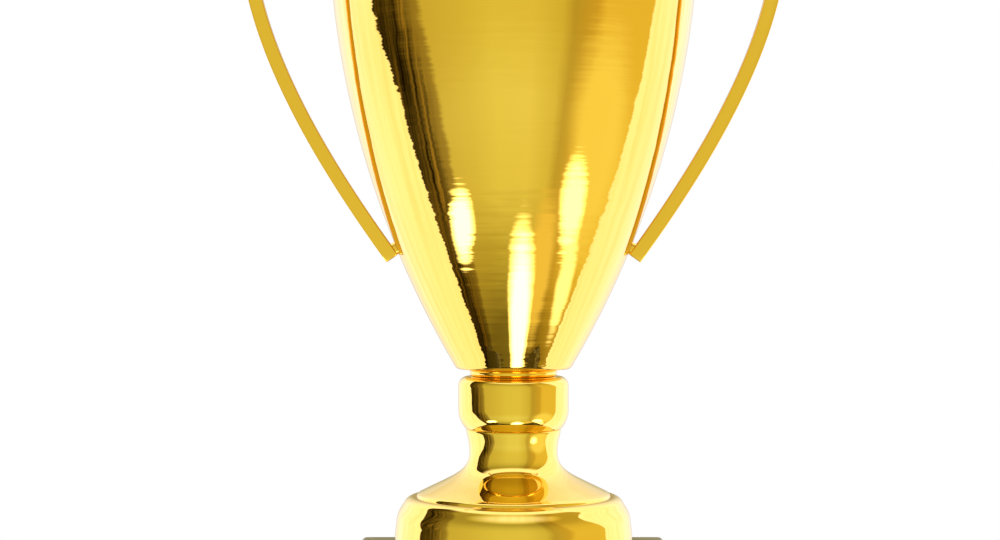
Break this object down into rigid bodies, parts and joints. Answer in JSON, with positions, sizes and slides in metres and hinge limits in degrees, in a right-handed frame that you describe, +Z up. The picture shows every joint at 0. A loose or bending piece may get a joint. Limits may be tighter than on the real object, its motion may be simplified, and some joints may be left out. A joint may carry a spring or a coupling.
{
  "type": "cup trophy",
  "caption": "Tall spun gold cup with two bent strip handles, on a drum collar and bell foot, clamped by a threaded rod to a square polished stone block; displayed as an award.",
  "frame": {"origin": "on the cup's own axis, at the underside of the felt pads it stands on", "axes": "+Z up along the cup's axis, handles along +X and -X, the name plate's face towards -Y"},
  "size_m": [0.2364, 0.1656, 0.348],
  "materials": {
    "cup_gold": "mirror polished gold",
    "handle_gold": "polished gold",
    "stem_gold": "mirror polished gold",
    "screw_steel": "zinc plated",
    "rod_steel": "zinc plated",
    "plug_plastic": "plain moulded",
    "stone": "polished dark marble",
    "plate_brass": "satin, bare",
    "felt": "felt",
    "gasket": "soft rubber"
  },
  "bodies": {
    "root": {"cup_bowl": "cup_gold", "right_handle": "handle_gold", "left_handle": "handle_gold", "right_handle_screws": "screw_steel", "left_handle_screws": "screw_steel", "right_screw_washers": "screw_steel", "left_screw_washers": "screw_steel", "neck_ring": "stem_gold", "stem_collar": "stem_gold", "bell_foot": "stem_gold", "collar_plug": "plug_plastic", "foot_plug": "plug_plastic", "marble_base": "stone", "name_plate": "plate_brass", "base_feet": "felt", "tie_rod": "rod_steel", "cup_gasket": "gasket", "cup_washer": "rod_steel", "cup_nut": "rod_steel", "base_washer": "rod_steel", "base_nut": "rod_steel"}
  },
  "joints": []
}
